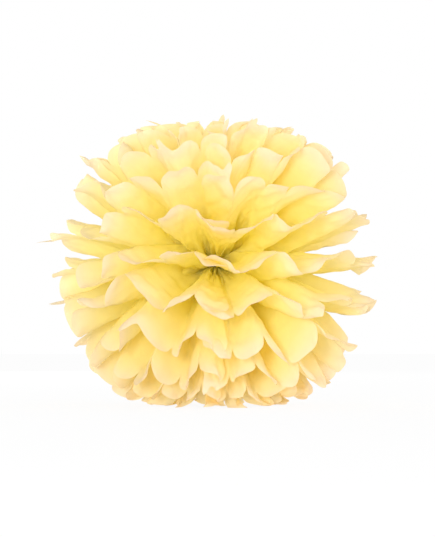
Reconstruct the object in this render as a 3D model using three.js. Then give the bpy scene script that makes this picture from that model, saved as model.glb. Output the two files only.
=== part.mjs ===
// A tissue paper pom pom. Sheets of tissue are stacked, folded like an accordion, tied round the
// middle with wire, trimmed round at both ends, and then opened: each sheet becomes two fans that
// spread from the tie to the left and to the right, and the sheets lean up and down to make a ball.
// Millimetres, +Z up. The folds run along X at the tie, and the loose edges meet at -Y and +Y.

import * as THREE from "three";

const degrees = THREE.MathUtils.degToRad;

// The flat sheets, as they are cut
const SHEET_COUNT = 11;
const SHEET_LENGTH = 256;
const SHEET_WIDTH = 508;
const PLEAT_COUNT = 14;
const TIP_ROUNDING = 16;
const PAPER_THICKNESS = 0.4;

// The tied waist
const WAIST_WIDTH = 10;
const GRIP_LENGTH = 4;
const SHEET_CLEARANCE = 0.85;

// How the fans open
const MIDDLE_GAP = degrees(16.5);
const DEEPEST_PLEAT_MIDDLE = degrees(28);
const DEEPEST_PLEAT_POLE = degrees(22);
const POLE_LIMIT = degrees(90);
const SEAM_LIFT = degrees(2.4);
const SEAM_PLEATS = 3;
const SEAM_FLATNESS = 0.85;
const SEAM_FLAT_LENGTH = 30;
const SEAM_FLATNESS_AT_RIM = 0.45;
const BEND_LENGTH = 7;
const PLEAT_START = 26;

// What handling does to the paper
const AZIMUTH_WANDER = degrees(4);
const LEAN_WANDER = degrees(6);
const TIP_SWAY = degrees(7);
const POLE_ORDER = 0.5;
const DRIFT_PER_SHEET = 0.7;
const LENGTH_WANDER = 4;
const PETAL_CURL = 9;
const CURL_SHARE = 0.22;
const TIP_DROOP = degrees(2);

// The ball rests on its lowest petals, and the crown has settled a little
const SHOULDER_HEIGHT = 58;
const CROWN_HEIGHT = 119;
const FOOT_SHOULDER = 66;
const FOOT_DEPTH = 121;
const POLE_BOW = 1.1;
const BOW_RADIUS = 32;

// The tie
const WIRE_DIAMETER = 1;
const WIRE_CLEARANCE = 0.3;
const TAIL_LENGTH = 14;
const TAIL_TURNS = 3;

const PLEAT_WIDTH = SHEET_WIDTH / PLEAT_COUNT;
const SHEET_PITCH = PAPER_THICKNESS + SHEET_CLEARANCE;
const GRIP_HALF = GRIP_LENGTH / 2;
const REACH = SHEET_LENGTH / 2 - GRIP_HALF;
const MIDDLE_SHEET = (SHEET_COUNT - 1) / 2;
const PLEAT_AZIMUTH = Math.PI / (PLEAT_COUNT - 1);
const FAN_HALF_ANGLE = (PLEAT_AZIMUTH * PLEAT_COUNT) / 2;
const BUNDLE_HALF_HEIGHT = (MIDDLE_SHEET * SHEET_PITCH) + PAPER_THICKNESS / 2;

// A fixed pseudo-random number from -1 to 1
function scatter(seed) {
  const x = Math.sin(seed * 12.9898) * 43758.5453;
  return 2 * (x - Math.floor(x)) - 1;
}

// Each fold line and each pleat on a side has a number of its own
function number(side, index) {
  return index + 1 + (side > 0 ? 0 : 40);
}

// A number from -1 to 1 that changes slowly from one sheet to the next, as paper that was folded together does
function drift(side, index, sheet, salt) {
  return Math.sin(Math.PI * scatter(number(side, index) + salt) + DRIFT_PER_SHEET * sheet);
}

// From 1 in the petals where the left and the right fan overlap to 0 further round
function seamShare(fold) {
  const fromSeam = Math.min(fold, PLEAT_COUNT - fold);
  return THREE.MathUtils.smoothstep(SEAM_PLEATS - fromSeam, 0, SEAM_PLEATS - 1);
}

// From 0 for the middle sheet to 1 for the outermost ones
function poleShare(sheet) {
  return Math.abs(sheet - MIDDLE_SHEET) / MIDDLE_SHEET;
}

// How freely a fold line wanders: least where the fans overlap and in the crowded sheets at the poles
function looseness(sheet, fold) {
  return (1 - seamShare(fold)) * (1 - POLE_ORDER * poleShare(sheet) ** 2);
}

function foldAzimuth(sheet, side, fold) {
  const wander = AZIMUTH_WANDER * looseness(sheet, fold) * drift(side, fold, sheet, 100);
  return PLEAT_AZIMUTH * fold - FAN_HALF_ANGLE + wander;
}

// Half the angle between a ridge and the valley beside it. The paper between two folds keeps its width
function pleatAngle(deepest, across, distance) {
  const paper = PLEAT_WIDTH / Math.max(distance, 1);
  const open = 0.5 * Math.sqrt(Math.max(0, paper * paper - across * across));
  return Math.min(open, deepest);
}

// The angle between one sheet and the next leaves room at the poles for the outermost sheets' pleats
function leanStep(distance) {
  const wander = LEAN_WANDER * (1 - POLE_ORDER);
  return (POLE_LIMIT - wander - pleatAngle(DEEPEST_PLEAT_POLE, 0, distance) - MIDDLE_GAP) / (MIDDLE_SHEET - 1);
}

// The middle sheet lies nearly level, with a wider gap above and below it
function sheetLean(sheet, distance) {
  const count = Math.abs(sheet - MIDDLE_SHEET);
  return count === 0 ? 0 : Math.sign(sheet - MIDDLE_SHEET) * (MIDDLE_GAP + (count - 1) * leanStep(distance));
}

// The mean angle between a fold line and its neighbours, as seen from above
function foldSpacing(sheet, side, fold) {
  const before = Math.max(0, fold - 1);
  const after = Math.min(PLEAT_COUNT, fold + 1);
  return (foldAzimuth(sheet, side, after) - foldAzimuth(sheet, side, before)) / (after - before);
}

// A point of a fold line at a distance from the tie, before the ball settles
function foldPoint(sheet, side, fold, distance) {
  const ramp = THREE.MathUtils.smoothstep(distance, 0, PLEAT_START);
  const azimuth = foldAzimuth(sheet, side, fold);
  const lean = sheetLean(sheet, distance);
  const across = Math.cos(lean) * foldSpacing(sheet, side, fold);
  const seam = seamShare(fold);
  const outward = THREE.MathUtils.smoothstep(distance, SEAM_FLAT_LENGTH, REACH);
  const flatness = seam * THREE.MathUtils.lerp(SEAM_FLATNESS, SEAM_FLATNESS_AT_RIM, outward);
  const deepest = THREE.MathUtils.lerp(DEEPEST_PLEAT_MIDDLE, DEEPEST_PLEAT_POLE, poleShare(sheet));
  const zigzag = side * (fold % 2 === 0 ? 1 : -1) * pleatAngle(deepest, across, distance) * ramp * (1 - flatness);
  const sway = TIP_SWAY * (distance / REACH) ** 2 * scatter(number(side, fold) + 23 * sheet + 600);
  const wander = looseness(sheet, fold) * (LEAN_WANDER * drift(side, fold, sheet, 200) + sway);
  const lift = side * seam * SEAM_LIFT;
  const bend = distance / (distance + BEND_LENGTH);
  const droop = TIP_DROOP * Math.cos(lean) * (distance / REACH) ** 2;
  const elevation = (lean + wander - lift + zigzag) * bend - droop;
  const level = distance * Math.cos(elevation);
  return new THREE.Vector3(
    side * (GRIP_HALF + level * Math.cos(azimuth)),
    WAIST_WIDTH * (fold / PLEAT_COUNT - 0.5) + level * Math.sin(azimuth),
    (sheet - MIDDLE_SHEET) * SHEET_PITCH + distance * Math.sin(elevation),
  );
}

// The share of a petal's width, from 0 to 1, sets how far the rounded cut lets it reach
function petalReach(sheet, side, pleat, share) {
  const across = 2 * share - 1;
  const own = LENGTH_WANDER * scatter(number(side, pleat) + 61 * sheet + 300);
  const rounding = TIP_ROUNDING + own;
  return REACH - TIP_ROUNDING + rounding * Math.sqrt(Math.max(0, 1 - across * across));
}

// Presses a height towards a limit that it never passes
function settle(height, shoulder, limit) {
  if (height <= shoulder) return height;
  return shoulder + (limit - shoulder) * Math.tanh((height - shoulder) / (limit - shoulder));
}

// What the tall petals near the poles lose in height, they gain by bowing outwards
function settled(point) {
  const [shoulder, limit] = point.z > 0 ? [SHOULDER_HEIGHT, CROWN_HEIGHT] : [FOOT_SHOULDER, FOOT_DEPTH];
  const tall = Math.abs(point.z);
  const height = settle(tall, shoulder, limit);
  const level = Math.hypot(point.x, point.y) / BOW_RADIUS;
  const spread = 1 + ((POLE_BOW * (tall - height)) / BOW_RADIUS) * Math.exp(1 - level);
  return new THREE.Vector3(point.x * spread, point.y * spread, Math.sign(point.z) * height);
}

// A point of a petal's middle surface. It lies between its two folds and bulges up or down towards the tip
function petalPoint(sheet, side, pleat, share, distance) {
  const start = foldPoint(sheet, side, pleat, distance);
  const end = foldPoint(sheet, side, pleat + 1, distance);
  const across = end.clone().sub(start);
  const point = start.clone().addScaledVector(across, share);
  const outward = point.clone().normalize();
  const normal = outward.clone().cross(across).multiplyScalar(side).normalize();
  const level = Math.hypot(point.x, point.y);
  const up = new THREE.Vector3(
    (-point.x * point.z) / Math.max(level, 1e-6),
    (-point.y * point.z) / Math.max(level, 1e-6),
    level,
  ).normalize();
  const room = CURL_SHARE * distance * leanStep(distance) * Math.abs(normal.dot(up));
  const wish = PETAL_CURL * scatter(number(side, pleat) + 17 * sheet + 400) * (distance / REACH) ** 3;
  const bulge = THREE.MathUtils.clamp(wish, -room, room) * 4 * share * (1 - share);
  return settled(point.addScaledVector(normal, bulge));
}

// Gives a surface its thickness: one skin each side of it and a wall along its edge
function thicken(points, triangles, thickness) {
  const normals = points.map(() => new THREE.Vector3());
  for (const corners of triangles) {
    const [a, b, c] = corners.map((i) => points[i]);
    const face = b.clone().sub(a).cross(c.clone().sub(a)).normalize();
    corners.forEach((i) => normals[i].add(face));
  }
  const skin = (offset) =>
    points.map((p, i) => p.clone().addScaledVector(normals[i].normalize(), offset));
  const vertices = [...skin(thickness / 2), ...skin(-thickness / 2)];
  const under = points.length;
  const faces = triangles.map((t) => [...t]);
  const edges = new Set(triangles.flatMap(([a, b, c]) => [`${a} ${b}`, `${b} ${c}`, `${c} ${a}`]));
  for (const [a, b, c] of triangles) faces.push([under + a, under + c, under + b]);
  for (const edge of edges) {
    const [a, b] = edge.split(" ").map(Number);
    if (edges.has(`${b} ${a}`)) continue;
    faces.push([a, under + a, under + b], [a, under + b, b]);
  }
  const geometry = new THREE.BufferGeometry();
  geometry.setAttribute(
    "position",
    new THREE.Float32BufferAttribute(vertices.flatMap((v) => v.toArray()), 3),
  );
  geometry.setIndex(faces.flat());
  geometry.computeVertexNormals();
  return geometry;
}

// One sheet, from the tips of its left fan through the tie to the tips of its right fan
function tissueSheet(sheet) {
  const points = [];
  const triangles = [];
  const places = new Map();
  const stations = [0, 0.16, 0.58, 1].map((share) => share * (REACH - TIP_ROUNDING));
  const inner = stations.length - 1;

  // Corners are shared between neighbours, so each has a key: its side, its quarter pleat and its station
  function corner(side, pleat, quarter, station) {
    const column = 4 * pleat + quarter;
    const key = `${side} ${column} ${station}`;
    if (!places.has(key)) {
      const tip = station === "tip";
      const share = tip ? 0.5 - 0.5 * Math.cos((Math.PI * quarter) / 4) : quarter / 4;
      const distance = tip ? petalReach(sheet, side, pleat, share) : stations[station];
      places.set(key, points.length);
      points.push(petalPoint(sheet, side, pleat, share, distance));
    }
    return places.get(key);
  }

  function face(side, a, b, c) {
    triangles.push(side > 0 ? [a, b, c] : [a, c, b]);
  }

  function quad(side, a, b, c, d) {
    face(side, a, b, c);
    face(side, a, c, d);
  }

  for (let pleat = 0; pleat < PLEAT_COUNT; pleat++) {
    for (const side of [1, -1]) {
      const at = (quarter, station) => corner(side, pleat, quarter, station);
      quad(side, at(0, 0), at(0, 1), at(4, 1), at(4, 0));
      face(side, at(0, 1), at(0, 2), at(2, 2));
      face(side, at(0, 1), at(2, 2), at(4, 1));
      face(side, at(4, 1), at(2, 2), at(4, 2));
      quad(side, at(0, 2), at(0, inner), at(2, inner), at(2, 2));
      quad(side, at(2, 2), at(2, inner), at(4, inner), at(4, 2));
      face(side, at(0, inner), at(1, "tip"), at(2, inner));
      face(side, at(1, "tip"), at(2, "tip"), at(2, inner));
      face(side, at(2, "tip"), at(3, "tip"), at(2, inner));
      face(side, at(3, "tip"), at(4, inner), at(2, inner));
    }
    const grip = (side, quarter) => corner(side, pleat, quarter, 0);
    quad(1, grip(-1, 0), grip(1, 0), grip(1, 4), grip(-1, 4));
  }
  return thicken(points, triangles, PAPER_THICKNESS);
}

// The wire goes once round the bundle, and its two ends are twisted together above it
function waistWire() {
  const radius = WIRE_DIAMETER / 2;
  const halfWidth = WAIST_WIDTH / 2 + WIRE_CLEARANCE + radius;
  const halfHeight = BUNDLE_HALF_HEIGHT + WIRE_CLEARANCE + radius;
  const twist = radius + 0.08;
  const bend = 1.2;
  const stepsPerTurn = 6;
  const tail = [];
  for (let step = TAIL_TURNS * stepsPerTurn; step >= 0; step--) {
    const turn = (2 * Math.PI * step) / stepsPerTurn;
    const along = halfHeight + 2 * radius + (TAIL_LENGTH * step) / (TAIL_TURNS * stepsPerTurn);
    tail.push([twist * Math.sin(turn), twist * Math.cos(turn), along]);
  }
  const loop = [];
  const corners = [[1, 1], [1, -1], [-1, -1], [-1, 1]];
  corners.forEach(([y, z], index) => {
    for (const part of [0.1, 0.5, 0.9]) {
      const angle = (Math.PI / 2) * (1 - index - part);
      loop.push([0, y * (halfWidth - bend) + bend * Math.cos(angle), z * (halfHeight - bend) + bend * Math.sin(angle)]);
    }
  });
  const path = [...tail, ...loop, ...tail.slice().reverse().map(([x, y, z]) => [-x, -y, z])]
    .map((p) => new THREE.Vector3(...p));
  const section = new THREE.Shape(
    [0, 1, 2, 3, 4, 5].map((corner) => {
      const angle = (Math.PI / 3) * corner;
      return new THREE.Vector2(radius * Math.cos(angle), radius * Math.sin(angle));
    }),
  );
  return new THREE.ExtrudeGeometry(section, {
    steps: path.length - 1,
    bevelEnabled: false,
    extrudePath: new THREE.CatmullRomCurve3(path, false, "centripetal"),
  });
}

const tissue = new THREE.MeshStandardMaterial({
  color: 0xf9e07c,
  roughness: 0.9,
  metalness: 0,
});
const wire = new THREE.MeshStandardMaterial({
  color: 0xb9b39a,
  roughness: 0.4,
  metalness: 0.8,
});

function named(name, geometry, material) {
  const mesh = new THREE.Mesh(geometry, material);
  mesh.name = name;
  return mesh;
}

const pomPom = new THREE.Group();
for (let sheet = 0; sheet < SHEET_COUNT; sheet++) {
  const name = `tissue_sheet_${String(sheet + 1).padStart(2, "0")}`;
  pomPom.add(named(name, tissueSheet(sheet), tissue));
}
pomPom.add(named("waist_wire", waistWire(), wire));

// The origin is the middle of the footprint, on the surface that the petals rest on
const box = new THREE.Box3().setFromObject(pomPom, true);
pomPom.position.set(
  -(box.min.x + box.max.x) / 2,
  -(box.min.y + box.max.y) / 2,
  -box.min.z,
);

export default pomPom;
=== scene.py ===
# The tissue paper pom pom, dressed: each sheet of tissue is one soft crumpled surface with a
# translucent paper material. The paper is laid out in millimetres round the tie, +Z up, and each
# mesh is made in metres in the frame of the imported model.
import math

import bpy
import numpy as np
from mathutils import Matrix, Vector


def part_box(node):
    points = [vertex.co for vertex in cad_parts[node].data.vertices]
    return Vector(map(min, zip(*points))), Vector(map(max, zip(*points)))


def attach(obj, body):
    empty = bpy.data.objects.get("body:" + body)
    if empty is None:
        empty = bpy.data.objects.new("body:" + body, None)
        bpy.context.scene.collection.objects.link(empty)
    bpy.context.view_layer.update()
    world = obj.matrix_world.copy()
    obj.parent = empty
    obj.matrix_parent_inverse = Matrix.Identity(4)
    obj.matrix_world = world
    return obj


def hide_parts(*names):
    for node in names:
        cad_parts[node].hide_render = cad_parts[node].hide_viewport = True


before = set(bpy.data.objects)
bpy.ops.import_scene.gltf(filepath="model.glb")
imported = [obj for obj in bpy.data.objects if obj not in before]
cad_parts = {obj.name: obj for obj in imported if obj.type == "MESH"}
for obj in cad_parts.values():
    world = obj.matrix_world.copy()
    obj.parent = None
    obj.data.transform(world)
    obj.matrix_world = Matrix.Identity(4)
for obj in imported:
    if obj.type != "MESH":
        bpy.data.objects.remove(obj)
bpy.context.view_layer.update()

METRE = 0.001

# The sheets are tied in the middle of the wire's loop, and the wire's twisted tail stands up on it
WIRE_LOOP_HEIGHT = 15.9
wire_low, wire_high = (np.array(corner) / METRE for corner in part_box("waist_wire"))
TIE = np.append((wire_low + wire_high)[:2] / 2, wire_low[2] + WIRE_LOOP_HEIGHT / 2)

# The flat sheets, as they are cut. A rounded tip is half an ellipse, which fills pi / 4 of its box.
SHEET_COUNT = 11
SHEET_LENGTH = 256
SHEET_WIDTH = 508
PLEAT_COUNT = 14
TIP_ROUNDING = 16

# The tied waist
WAIST_WIDTH = 10
GRIP_LENGTH = 4
SHEET_PITCH = 1.25

# How the fans open. Round the tie the folds spread wider than they do further out.
FAN_AT_TIE = 1.18
MIDDLE_GAP = math.radians(16.5)
DEEPEST_PLEAT_MIDDLE = math.radians(28)
DEEPEST_PLEAT_POLE = math.radians(22)
POLE_LIMIT = math.radians(90)
PLEAT_START = 26
BEND_LENGTH = 7

# The seam, in front and behind, where the left and the right fan overlap and the pleats lie flatter
SEAM_PLEATS = 3
SEAM_LIFT = math.radians(2.4)
SEAM_FLATNESS = 0.85
SEAM_FLAT_LENGTH = 30
SEAM_FLATNESS_AT_RIM = 0.45

# What handling does to the folds. The crowded sheets at the poles wander less.
AZIMUTH_WANDER = math.radians(4)
LEAN_WANDER = math.radians(6)
TIP_SWAY = math.radians(7)
TIP_DROOP = math.radians(2)
POLE_ORDER = 0.5
DRIFT_PER_SHEET = 0.7
LENGTH_WANDER = 4
PETAL_CURL = 9
CURL_SHARE = 0.22

# The ball rests on its lowest petals, and the crown has settled a little
SHOULDER_HEIGHT = 58
CROWN_HEIGHT = 119
FOOT_SHOULDER = 66
FOOT_DEPTH = 121
POLE_BOW = 1.1
BOW_RADIUS = 32

# How wide a crease is, as a share of its pleat, and how the folds alternate at the tie
CREASE_AT_TIE = 0.10
CREASE_AT_TIP = 0.40
TUCK = 0.8
TUCK_LENGTH = 12

# The small gathers round the tie, which are lower at the seam and reach further at the poles
GATHERS = 3
DEEPEST_GATHER = 6
DEEPEST_GATHER_AT_POLE = 5.2
SEAM_SMOOTHNESS = 0.8
GATHER_START = 3
GATHER_FULL = 16
GATHER_FADE = 34
GATHER_END = 78
GATHER_AT_POLE = 40

# For a wave of many small folds: how its length over its width grows with the square of its slope
GATHER_SLACK = 0.45

# Curled tips, a wavy rim and light crumples. Waves have a shortest and a longest length and a count.
TIP_CURL = 9
TIP_CURL_START = 0.5
RUFFLE = 1.5
RUFFLE_FALL = 6
RUFFLE_WAVES = (15, 34, 5)
CRUMPLE = 0.65
CRUMPLE_START = 6
CRUMPLE_FULL = 40
CRUMPLE_WAVES = (9, 34, 9)

# Slivers that the scissors missed at a few folds, but not in the sheets that the ball rests on
SLIVER_LENGTH = 26
SLIVER_HALF_WIDTH = 4.6
SLIVER_RARITY = 0.9
PRESSED_SHEETS = 2

# How a pseudo-random number is made from a seed
SCATTER_STEP = 12.9898
SCATTER_SCALE = 43758.5453

# Seeds of the accidents. Where there are two numbers, the second is the step from sheet to sheet.
LEFT_SEED = 40
AZIMUTH_SEED = 100
LEAN_SEED = 200
LENGTH_SEED = (300, 61)
PETAL_SEED = (400, 17)
TIP_SEED = (500, 47)
SWAY_SEED = (600, 23)
SLIVER_SEED = (798, 71)
WAVE_SEED = (1000, 100)
WAVE_SIDE_STEP = 10
WAVE_STEP = 7
CRUMPLE_STEP = 50

# The grid of points: columns on a pleat, how evenly they are spread, and rows out to the tips
COLUMNS = 16
COLUMN_EVENNESS = 0.75
ROWS = 44

# The paper's yellow, with painted light and shade by distance: 0 is at TONE_START from the tie, and 1
# is at the tips
# The tips are painted paler, as painted light, and the paper near the tie a deeper yellow, as painted
# shade
TONE_START = 20
TISSUE_COLOUR_AND_PAINTED_LIGHT = [
    (0.0, (0.986, 0.948, 0.31)),
    (0.45, (0.98, 0.935, 0.35)),
    (0.8, (0.988, 0.898, 0.45)),
    (0.92, (0.99, 0.885, 0.54)),
    (1.0, (0.99, 0.85, 0.6)),
]
TRANSLUCENCE = 0.45
WIRE_TONES = [(0.3, (0.50, 0.48, 0.43)), (0.7, (0.66, 0.64, 0.59))]

# Light passes through and between many layers of paper
BOUNCES = 24

# The camera is a little below the tie and looks up, as in the photograph. It aims a few pixels off the
# tie, and each pixel of the picture shows PIXEL millimetres of the object.
PICTURE_WIDTH = 435
PIXEL = 0.795
SENSOR_WIDTH = 36
CAMERA_DISTANCE = 1500
CAMERA_RISE = math.radians(2.2)
AIM_RIGHT = 2.5
AIM_DOWN = 3.5

# The studio: light from all round, and a floor that the camera sees nearly white
WORLD_LIGHT = 0.77
FLOOR_SIZE = 12000
FLOOR_TONE = 0.93
FLOOR_WHITENESS = 0.93

# The least that anything is divided by
NEVER_ZERO = 1e-9

# What follows from these sizes
PLEAT_WIDTH = SHEET_WIDTH / PLEAT_COUNT
GRIP_HALF = GRIP_LENGTH / 2
REACH = SHEET_LENGTH / 2 - GRIP_HALF
MIDDLE_SHEET = (SHEET_COUNT - 1) / 2
PLEAT_AZIMUTH = math.pi / (PLEAT_COUNT - 1)
FAN_HALF_ANGLE = PLEAT_AZIMUTH * PLEAT_COUNT / 2


def smoothstep(value, low, high):
    share = np.clip((value - low) / (high - low), 0, 1)
    return share * share * (3 - 2 * share)


def unit(vectors):
    return vectors / np.maximum(np.linalg.norm(vectors, axis=-1, keepdims=True), NEVER_ZERO)


def dot(a, b):
    return (a * b).sum(axis=-1)


def scatter(seed):
    """A fixed pseudo-random number from -1 to 1."""
    x = np.sin(np.asarray(seed, dtype=float) * SCATTER_STEP) * SCATTER_SCALE
    return 2 * (x - np.floor(x)) - 1


def number(side, index):
    """Each fold line and each pleat on a side has a number of its own."""
    return index + 1 + (0 if side > 0 else LEFT_SEED)


def accident(side, index, sheet, seed):
    """A number from -1 to 1 that differs from sheet to sheet."""
    first, step = seed
    return scatter(number(side, index) + step * sheet + first)


def drift(side, index, sheet, seed):
    """A number from -1 to 1 that changes slowly from one sheet to the next."""
    return np.sin(np.pi * scatter(number(side, index) + seed) + DRIFT_PER_SHEET * sheet)


def waves(along, across, seed, shortest, longest, count):
    """Smooth wrinkles on the flat paper: plane waves with fixed directions, lengths and phases."""
    total = 0
    for index in range(count):
        own = seed + WAVE_STEP * index
        direction = math.pi * scatter(own)
        length = shortest + (longest - shortest) * (0.5 + 0.5 * scatter(own + 1))
        phase = math.pi * scatter(own + 2)
        turned = along * math.cos(direction) + across * math.sin(direction)
        total = total + np.sin(2 * math.pi * turned / length + phase)
    return total / math.sqrt(count)


def seam_share(fold):
    """From 1 in the petals where the left and the right fan overlap to 0 further round."""
    from_seam = np.minimum(fold, PLEAT_COUNT - fold)
    return smoothstep(SEAM_PLEATS - from_seam, 0, SEAM_PLEATS - 1)


def pole_share(sheet):
    """From 0 for the middle sheet to 1 for the outermost ones."""
    return abs(sheet - MIDDLE_SHEET) / MIDDLE_SHEET


def looseness(sheet, fold):
    """How freely a fold line wanders: least at the overlap and in the crowded sheets at the poles."""
    return (1 - seam_share(fold)) * (1 - POLE_ORDER * pole_share(sheet) ** 2)


def fold_azimuth(sheet, side, fold):
    """The direction of a fold line seen from above, from the side's own axis."""
    wander = AZIMUTH_WANDER * looseness(sheet, fold) * drift(side, fold, sheet, AZIMUTH_SEED)
    return PLEAT_AZIMUTH * fold - FAN_HALF_ANGLE + wander


def fold_spacing(sheet, side, fold):
    """The angle from a fold line to its neighbours, seen from above."""
    before = np.maximum(0, fold - 1)
    after = np.minimum(PLEAT_COUNT, fold + 1)
    turned = fold_azimuth(sheet, side, after) - fold_azimuth(sheet, side, before)
    return turned / (after - before)


def pleat_angle(deepest, across, distance):
    """Half the angle between a ridge and the valley beside it, for paper that keeps its width."""
    paper = PLEAT_WIDTH / np.maximum(distance, 1)
    opened = 0.5 * np.sqrt(np.maximum(0, paper**2 - across**2))
    return np.minimum(opened, deepest)


def lean_step(distance):
    """How much more each sheet leans than the one before it, so that the last one ends at the pole."""
    wander = LEAN_WANDER * (1 - POLE_ORDER)
    room = POLE_LIMIT - wander - pleat_angle(DEEPEST_PLEAT_POLE, 0, distance) - MIDDLE_GAP
    return room / (MIDDLE_SHEET - 1)


def sheet_lean(sheet, distance):
    """How far a sheet leans up or, below the middle one, down."""
    count = abs(sheet - MIDDLE_SHEET)
    if count == 0:
        return 0 * distance
    return np.sign(sheet - MIDDLE_SHEET) * (MIDDLE_GAP + (count - 1) * lean_step(distance))


def fold_point(sheet, side, fold, distance):
    """Points of fold lines at distances from the tie, before the ball settles."""
    ramp = smoothstep(distance, 0, PLEAT_START)
    azimuth = fold_azimuth(sheet, side, fold) * (FAN_AT_TIE + (1 - FAN_AT_TIE) * ramp)
    lean = sheet_lean(sheet, distance)
    across = np.cos(lean) * fold_spacing(sheet, side, fold)
    seam = seam_share(fold)
    outward = smoothstep(distance, SEAM_FLAT_LENGTH, REACH)
    flatness = seam * (SEAM_FLATNESS + (SEAM_FLATNESS_AT_RIM - SEAM_FLATNESS) * outward)
    deepest = DEEPEST_PLEAT_MIDDLE + (DEEPEST_PLEAT_POLE - DEEPEST_PLEAT_MIDDLE) * pole_share(sheet)
    parity = np.where(fold % 2 == 0, 1, -1)
    zigzag = side * parity * pleat_angle(deepest, across, distance) * ramp * (1 - flatness)
    sway = TIP_SWAY * (distance / REACH) ** 2 * accident(side, fold, sheet, SWAY_SEED)
    wander = looseness(sheet, fold) * (LEAN_WANDER * drift(side, fold, sheet, LEAN_SEED) + sway)
    lift = side * seam * SEAM_LIFT
    bend = distance / (distance + BEND_LENGTH)
    droop = TIP_DROOP * np.cos(lean) * (distance / REACH) ** 2
    elevation = (lean + wander - lift + zigzag) * bend - droop
    level = distance * np.cos(elevation)
    tuck = TUCK * parity * (1 - smoothstep(distance, 0, TUCK_LENGTH))
    return np.stack(
        [
            side * (GRIP_HALF + level * np.cos(azimuth)),
            WAIST_WIDTH * (fold / PLEAT_COUNT - 0.5) + level * np.sin(azimuth),
            (sheet - MIDDLE_SHEET) * SHEET_PITCH + tuck + distance * np.sin(elevation),
        ],
        axis=-1,
    )


def petal_reach(sheet, side, pleat, share):
    """How far the rounded cut lets a petal reach at a share of its width."""
    across = 2 * share - 1
    own = LENGTH_WANDER * accident(side, pleat, sheet, LENGTH_SEED)
    return REACH - TIP_ROUNDING + (TIP_ROUNDING + own) * np.sqrt(np.maximum(0, 1 - across**2))


def sliver(sheet, side, fold, away):
    """How far a thin sliver that the scissors missed stands out, at a distance from its fold line."""
    if sheet < PRESSED_SHEETS:
        return 0
    missed = accident(side, fold, sheet, SLIVER_SEED) > SLIVER_RARITY
    return SLIVER_LENGTH * missed * np.exp(-((away / SLIVER_HALF_WIDTH) ** 2))


def cut_reach(sheet, side, pleat, share):
    """How far from the tie the paper ends: the petal's round cut and the slivers at its two folds."""
    reach = petal_reach(sheet, side, pleat, share)
    reach = reach + sliver(sheet, side, pleat, share * PLEAT_WIDTH)
    return reach + sliver(sheet, side, pleat + 1, (1 - share) * PLEAT_WIDTH)


def settle(height, shoulder, limit):
    """Heights above the shoulder, pressed together below the limit."""
    pressed = shoulder + (limit - shoulder) * np.tanh((height - shoulder) / (limit - shoulder))
    return np.where(height <= shoulder, height, pressed)


def settled(points):
    """What the tall petals near the poles lose in height, they gain by bowing outwards."""
    up = points[..., 2] > 0
    tall = np.abs(points[..., 2])
    shoulder = np.where(up, SHOULDER_HEIGHT, FOOT_SHOULDER)
    height = settle(tall, shoulder, np.where(up, CROWN_HEIGHT, FOOT_DEPTH))
    level = np.hypot(points[..., 0], points[..., 1]) / BOW_RADIUS
    spread = 1 + POLE_BOW * (tall - height) / BOW_RADIUS * np.exp(1 - level)
    moved = [points[..., 0] * spread, points[..., 1] * spread, np.where(up, height, -height)]
    return np.stack(moved, axis=-1)


def uphill(points):
    """At each point, the way up that is square to the line from the tie."""
    level = np.hypot(points[..., 0], points[..., 1])
    inward = -points[..., 2] / np.maximum(level, NEVER_ZERO)
    return unit(np.stack([points[..., 0] * inward, points[..., 1] * inward, level], axis=-1))


def petal_bulge(sheet, side, pleat, share, distance, upright):
    """The bulge of each petal, as the solid sheets have it, within the room up to the next sheet."""
    room = CURL_SHARE * distance * lean_step(distance) * upright
    wish = PETAL_CURL * accident(side, pleat, sheet, PETAL_SEED) * (distance / REACH) ** 3
    return np.clip(wish, -room, room) * 4 * share * (1 - share)


def crease_softening(sheet, side, pleat, share, distance, start, end, up):
    """Each crease is sharp at the tie and opens into a soft bend towards the tips."""
    width = CREASE_AT_TIE + (CREASE_AT_TIP - CREASE_AT_TIE) * (distance / REACH)
    before = fold_point(sheet, side, np.maximum(pleat - 1, 0), distance)
    after = fold_point(sheet, side, np.minimum(pleat + 2, PLEAT_COUNT), distance)
    start_peak = dot(2 * start - before - end, up) / 2 * (pleat > 0)
    end_peak = dot(2 * end - start - after, up) / 2 * (pleat < PLEAT_COUNT - 1)
    near_start = np.clip(1 - share / width, 0, 1) ** 2
    near_end = np.clip(1 - (1 - share) / width, 0, 1) ** 2
    return -(start_peak * near_start + end_peak * near_end) * width / 2


def gathers(sheet, pleat, share, reach, distance, start, end):
    """Where a petal is narrower than its paper, the paper is gathered into small folds."""
    first = settled(start)
    narrow = np.linalg.norm(settled(end) - first, axis=-1)
    short = np.linalg.norm(np.gradient(first, axis=1), axis=-1) * ROWS / reach
    spare = PLEAT_WIDTH**2 - (narrow * np.minimum(short, 1)) ** 2
    depth = np.sqrt(np.maximum(0, spare) / GATHER_SLACK) / (math.pi * GATHERS)
    further = GATHER_AT_POLE * pole_share(sheet) ** 2
    fading = smoothstep(distance, GATHER_FADE + further, GATHER_END + further)
    gathered = smoothstep(distance, GATHER_START, GATHER_FULL) * (1 - fading)
    deepest = DEEPEST_GATHER + (DEEPEST_GATHER_AT_POLE - DEEPEST_GATHER) * pole_share(sheet)
    seam = seam_share(pleat) + (seam_share(pleat + 1) - seam_share(pleat)) * share
    smoothness = SEAM_SMOOTHNESS * seam * (1 - pole_share(sheet))
    depth = np.minimum(depth, deepest) * gathered * (1 - smoothness)
    return depth * np.sin(math.pi * GATHERS * share)


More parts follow.
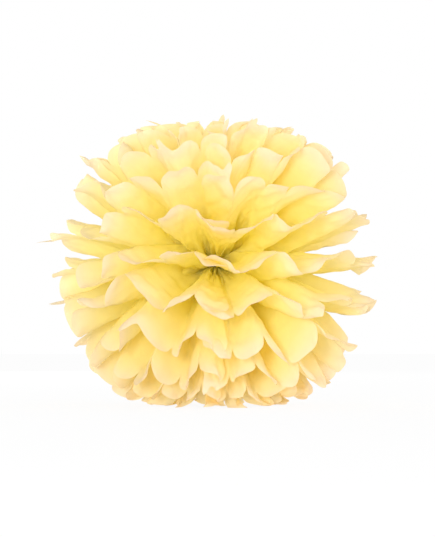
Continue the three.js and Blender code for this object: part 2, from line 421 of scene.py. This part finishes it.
def handling(sheet, side, pleat, share, distance, along, across):
    """Curled tips, a wavy rim and light crumples. Curls and rim keep the fold lines in place."""
    out = distance / REACH
    belly = np.sin(math.pi * share)
    start_curl = accident(side, pleat, sheet, TIP_SEED)
    end_curl = accident(side, pleat + 1, sheet, TIP_SEED)
    curl = TIP_CURL * (start_curl + (end_curl - start_curl) * share) * belly
    tip = np.clip((out - TIP_CURL_START) / (1 - TIP_CURL_START), 0, None) ** 2
    first, step = WAVE_SEED
    seed = first + step * sheet + WAVE_SIDE_STEP * side
    rim = RUFFLE * belly * out**RUFFLE_FALL * waves(along, across, seed, *RUFFLE_WAVES)
    crumpled = smoothstep(distance, CRUMPLE_START, CRUMPLE_FULL)
    crumple = CRUMPLE * crumpled * waves(along, across, seed + CRUMPLE_STEP, *CRUMPLE_WAVES)
    return curl * tip + rim + crumple


def fan_columns():
    """For each column of points, the pleat that it is on and its share of the pleat's width."""
    even = np.arange(COLUMNS) / COLUMNS
    near_folds = (1 - np.cos(math.pi * even)) / 2
    shares = COLUMN_EVENNESS * even + (1 - COLUMN_EVENNESS) * near_folds
    pleat = np.append(np.repeat(np.arange(PLEAT_COUNT), COLUMNS), PLEAT_COUNT - 1)
    share = np.append(np.tile(shares, PLEAT_COUNT), 1.0)
    return pleat[:, None], share[:, None]


def fan(sheet, side):
    """One fan of a sheet as a grid of points, and their places on the flat paper.

    Columns run across the pleats, and rows out to the tips.
    """
    pleat, share = fan_columns()
    reach = cut_reach(sheet, side, pleat, share)
    distance = reach * np.linspace(0, 1, ROWS + 1)[None, :]
    along = side * distance
    across = (pleat + share) * PLEAT_WIDTH

    start = fold_point(sheet, side, pleat, distance)
    end = fold_point(sheet, side, pleat + 1, distance)
    points = start + (end - start) * share[..., None]
    normal = side * unit(np.cross(unit(points), end - start))
    up = uphill(points)
    bulge = petal_bulge(sheet, side, pleat, share, distance, np.abs(dot(normal, up)))
    soften = crease_softening(sheet, side, pleat, share, distance, start, end, up)
    gather = gathers(sheet, pleat, share, reach, distance, start, end)
    points = points + normal * (bulge + gather)[..., None] + up * soften[..., None]

    smooth = side * unit(np.cross(np.gradient(points, axis=1), np.gradient(points, axis=0)))
    offset = handling(sheet, side, pleat, share, distance, along, across)
    points = settled(points + smooth * offset[..., None])
    return points, np.stack(np.broadcast_arrays(along, across), axis=-1)


def quads(grid):
    """The corners of every cell of a grid of point numbers."""
    corners = [grid[:-1, :-1], grid[:-1, 1:], grid[1:, 1:], grid[1:, :-1]]
    return np.stack(corners, axis=-1).reshape(-1, 4)


def sheet_mesh(sheet):
    """The whole sheet: both fans, joined through the tie."""
    right, right_flat = fan(sheet, 1)
    left, left_flat = fan(sheet, -1)
    points = np.concatenate([right.reshape(-1, 3), left.reshape(-1, 3)])
    flat = np.concatenate([right_flat.reshape(-1, 2), left_flat.reshape(-1, 2)])
    columns, rows = right.shape[:2]
    index = np.arange(columns * rows).reshape(columns, rows)
    other = index + columns * rows
    grip = np.stack([other[:-1, 0], index[:-1, 0], index[1:, 0], other[1:, 0]], axis=-1)
    faces = np.concatenate([quads(index), quads(other)[:, ::-1], grip])
    mesh = bpy.data.meshes.new(f"sheet_{sheet + 1:02d}")
    mesh.from_pydata(((points + TIE) * METRE).tolist(), [], faces.tolist())
    mesh.update()
    mesh.polygons.foreach_set("use_smooth", [True] * len(mesh.polygons))
    corners = np.empty(len(mesh.loops), dtype=np.int32)
    mesh.loops.foreach_get("vertex_index", corners)
    layer = mesh.uv_layers.new(name="flat_paper")
    size = np.array([SHEET_LENGTH, SHEET_WIDTH])
    placed = (flat + [SHEET_LENGTH / 2, 0]) / size.max()
    layer.data.foreach_set("uv", placed[corners].ravel().astype(np.float32))
    return mesh


def new_material(name):
    material = bpy.data.materials.new(name)
    material.use_nodes = True
    material.node_tree.nodes.clear()
    return material, material.node_tree


def node(tree, kind, **values):
    made = tree.nodes.new(kind)
    for key, value in values.items():
        setattr(made, key, value)
    return made


def colour_ramp(tree, share, stops):
    """A colour that follows a share from 0 to 1 through the stops."""
    made = node(tree, "ShaderNodeValToRGB")
    elements = made.color_ramp.elements
    while len(elements) < len(stops):
        elements.new(0.5)
    for element, (position, colour) in zip(elements, stops):
        element.position = position
        element.color = (*colour, 1)
    tree.links.new(share, made.inputs["Fac"])
    return made.outputs["Color"]


def noise(tree, place, scale, detail, distortion=0):
    made = node(tree, "ShaderNodeTexNoise")
    made.inputs["Scale"].default_value = scale
    made.inputs["Detail"].default_value = detail
    made.inputs["Distortion"].default_value = distortion
    tree.links.new(place, made.inputs["Vector"])
    return made.outputs["Fac"]


def between(tree, share, low, high):
    """A share from 0 to 1, turned into a value from low to high."""
    made = node(tree, "ShaderNodeMapRange")
    made.inputs["To Min"].default_value = low
    made.inputs["To Max"].default_value = high
    tree.links.new(share, made.inputs["Value"])
    return made.outputs["Result"]


def bump(tree, height, strength, depth, under=None):
    """The normals of a surface that a height roughens, over the normals of another bump."""
    made = node(tree, "ShaderNodeBump")
    made.inputs["Strength"].default_value = strength
    made.inputs["Distance"].default_value = depth * METRE
    tree.links.new(height, made.inputs["Height"])
    if under is not None:
        tree.links.new(under, made.inputs["Normal"])
    return made.outputs["Normal"]


def mixed(tree, kind, first, second):
    """Mixes two shaders into a new output node; how far is still to be set, at Fac."""
    made = node(tree, "ShaderNodeMixShader")
    output = node(tree, kind)
    tree.links.new(first.outputs[0], made.inputs[1])
    tree.links.new(second.outputs[0], made.inputs[2])
    tree.links.new(made.outputs["Shader"], output.inputs["Surface"])
    return made.inputs["Fac"]


def tissue_material():
    """Thin dyed paper that scatters light and lets much of it through; pale tips are painted light, a
    deeper yellow near the tie painted shade.
    """
    material, tree = new_material("tissue_paper")
    link = tree.links.new
    place = node(tree, "ShaderNodeTexCoord")
    flat = place.outputs["UV"]
    # The distance from the tie drives painted light and shade: paler towards the tips, a deeper yellow
    # near the tie
    reach = node(tree, "ShaderNodeVectorMath", operation="DISTANCE")
    reach.inputs[1].default_value = TIE * METRE
    link(place.outputs["Object"], reach.inputs[0])
    share = node(tree, "ShaderNodeMapRange")
    share.inputs["From Min"].default_value = TONE_START * METRE
    share.inputs["From Max"].default_value = REACH * METRE
    link(reach.outputs["Value"], share.inputs["Value"])

    # Faint clouds in the pulp, in the flat paper's own directions
    clouds = between(tree, noise(tree, flat, scale=60, detail=5), low=0.965, high=1.03)
    colour = node(tree, "ShaderNodeVectorMath", operation="SCALE")
    link(colour_ramp(tree, share.outputs["Result"], TISSUE_COLOUR_AND_PAINTED_LIGHT), colour.inputs[0])
    link(clouds, colour.inputs["Scale"])

    fibres = bump(tree, noise(tree, flat, scale=420, detail=4), strength=0.25, depth=0.2)
    wrinkles = noise(tree, flat, scale=85, detail=3, distortion=0.8)
    surface = bump(tree, wrinkles, strength=0.35, depth=0.9, under=fibres)

    paper = node(tree, "ShaderNodeBsdfPrincipled")
    paper.inputs["Roughness"].default_value = 0.85
    paper.inputs["Specular IOR Level"].default_value = 0.2
    through = node(tree, "ShaderNodeBsdfTranslucent")
    for shader, socket in ((paper, "Base Color"), (through, "Color")):
        link(colour.outputs["Vector"], shader.inputs[socket])
        link(surface, shader.inputs["Normal"])
    mixed(tree, "ShaderNodeOutputMaterial", paper, through).default_value = TRANSLUCENCE
    return material


def wire_material():
    """Soft binding wire, drawn along its length and a little dull."""
    material, tree = new_material("binding_wire")
    link = tree.links.new
    place = node(tree, "ShaderNodeTexCoord")
    drawn = noise(tree, place.outputs["Object"], scale=900, detail=3)
    metal = node(tree, "ShaderNodeBsdfPrincipled")
    metal.inputs["Metallic"].default_value = 1
    link(colour_ramp(tree, drawn, WIRE_TONES), metal.inputs["Base Color"])
    link(between(tree, drawn, low=0.3, high=0.5), metal.inputs["Roughness"])
    output = node(tree, "ShaderNodeOutputMaterial")
    link(metal.outputs["BSDF"], output.inputs["Surface"])
    return material


def add_paper():
    tissue = tissue_material()
    for sheet in range(SHEET_COUNT):
        piece = bpy.data.objects.new(f"sheet_{sheet + 1:02d}_paper", sheet_mesh(sheet))
        bpy.context.scene.collection.objects.link(piece)
        piece.data.materials.append(tissue)
        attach(piece, "root")
        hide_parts(f"tissue_sheet_{sheet + 1:02d}")


def add_wire():
    wire = bpy.data.objects["waist_wire"]
    wire.data.materials.clear()
    wire.data.materials.append(wire_material())


def add_camera():
    aim = Vector(TIE * METRE) + PIXEL * METRE * Vector((AIM_RIGHT, 0, -AIM_DOWN))
    camera = bpy.data.cameras.new("camera")
    camera.sensor_fit = "HORIZONTAL"
    camera.sensor_width = SENSOR_WIDTH
    camera.lens = SENSOR_WIDTH * CAMERA_DISTANCE / (PICTURE_WIDTH * PIXEL)
    holder = bpy.data.objects.new("camera", camera)
    behind = Vector((0, -math.cos(CAMERA_RISE), -math.sin(CAMERA_RISE)))
    holder.location = aim + CAMERA_DISTANCE * METRE * behind
    holder.rotation_euler = (math.pi / 2 + CAMERA_RISE, 0, 0)
    bpy.context.scene.collection.objects.link(holder)
    bpy.context.scene.camera = holder


def add_lamp(name, place, size, power, colour):
    """A square lamp that faces the tie; its place and size are in metres."""
    lamp = bpy.data.lights.new(name, "AREA")
    lamp.size = size
    lamp.energy = power
    lamp.color = colour
    holder = bpy.data.objects.new(name, lamp)
    holder.location = place
    holder.rotation_euler = (Vector(TIE * METRE) - Vector(place)).to_track_quat("-Z", "Y").to_euler()
    bpy.context.scene.collection.objects.link(holder)


def add_lamps():
    add_lamp("front", place=(-0.3, -1.6, 0.17), size=0.34, power=12, colour=(1.0, 1.0, 0.96))
    add_lamp("side", place=(1.4, -0.7, 0.25), size=0.5, power=7, colour=(0.95, 0.84, 1.0))
    add_lamp("back", place=(-0.5, 1.5, 0.5), size=0.8, power=7, colour=(1.0, 1.0, 1.0))


def seen(tree):
    """1 for what the camera, gloss and glass see, and 0 for light that falls on the object."""
    link = tree.links.new
    path = node(tree, "ShaderNodeLightPath")
    glossy = node(tree, "ShaderNodeMath", operation="ADD")
    link(path.outputs["Is Camera Ray"], glossy.inputs[0])
    link(path.outputs["Is Glossy Ray"], glossy.inputs[1])
    total = node(tree, "ShaderNodeMath", operation="ADD", use_clamp=True)
    link(glossy.outputs["Value"], total.inputs[0])
    link(path.outputs["Is Transmission Ray"], total.inputs[1])
    return total.outputs["Value"]


def add_world():
    world = bpy.data.worlds.new("studio")
    world.use_nodes = True
    tree = world.node_tree
    tree.nodes.clear()
    light = node(tree, "ShaderNodeBackground")
    light.inputs["Color"].default_value = (1, 1, 1, 1)
    light.inputs["Strength"].default_value = WORLD_LIGHT
    white = node(tree, "ShaderNodeBackground")
    white.inputs["Color"].default_value = (1, 1, 1, 1)
    tree.links.new(seen(tree), mixed(tree, "ShaderNodeOutputWorld", light, white))
    bpy.context.scene.world = world


def add_floor():
    bpy.ops.mesh.primitive_plane_add(size=FLOOR_SIZE * METRE)
    floor = bpy.context.object
    floor.name = "floor"
    material, tree = new_material("floor_white")
    link = tree.links.new
    lit = node(tree, "ShaderNodeBsdfDiffuse")
    lit.inputs["Color"].default_value = (FLOOR_TONE, FLOOR_TONE, FLOOR_TONE, 1)
    white = node(tree, "ShaderNodeEmission")
    part = node(tree, "ShaderNodeMath", operation="MULTIPLY")
    part.inputs[1].default_value = FLOOR_WHITENESS
    link(seen(tree), part.inputs[0])
    link(part.outputs["Value"], mixed(tree, "ShaderNodeOutputMaterial", lit, white))
    floor.data.materials.append(material)


add_camera()
add_paper()
add_wire()
add_world()
add_lamps()
add_floor()
bpy.context.scene.view_settings.view_transform = "Standard"
bpy.context.scene.cycles.max_bounces = BOUNCES
bpy.context.scene.cycles.diffuse_bounces = BOUNCES
bpy.context.scene.cycles.transmission_bounces = BOUNCES
